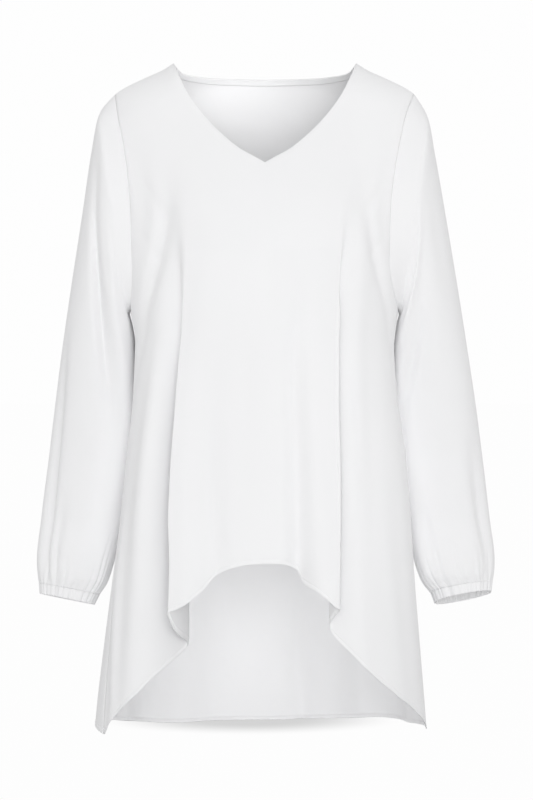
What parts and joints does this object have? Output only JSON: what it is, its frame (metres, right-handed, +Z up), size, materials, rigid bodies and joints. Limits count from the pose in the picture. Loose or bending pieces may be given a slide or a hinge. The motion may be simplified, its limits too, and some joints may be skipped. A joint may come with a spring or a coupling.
{
  "type": "blouse",
  "caption": "Loose pull-on blouse with a V neck, long full sleeves gathered into elastic cuffs, a softly folded body and a high-low hem.",
  "frame": {"origin": "midway between the two neck points, where the shoulder seams meet the neck opening, at the height of those points", "axes": "+Z up along the garment, the front facing -Y, the garment's own right-hand side in the picture (its left sleeve on a wearer) towards +X"},
  "size_m": [0.5631, 0.318, 0.8198],
  "materials": {
    "front_cloth": "matte crepe",
    "back_cloth": "matte crepe",
    "back_neck_binding_cloth": "matte crepe, turned and stitched",
    "sleeve_left_cloth": "matte crepe",
    "sleeve_right_cloth": "matte crepe",
    "cuff_left_cloth": "matte crepe over elastic",
    "cuff_right_cloth": "matte crepe over elastic"
  },
  "bodies": {
    "root": {"front": "front_cloth", "back": "back_cloth", "back_neck_binding": "back_neck_binding_cloth", "sleeve_left": "sleeve_left_cloth", "sleeve_right": "sleeve_right_cloth", "cuff_left": "cuff_left_cloth", "cuff_right": "cuff_right_cloth"}
  },
  "joints": []
}
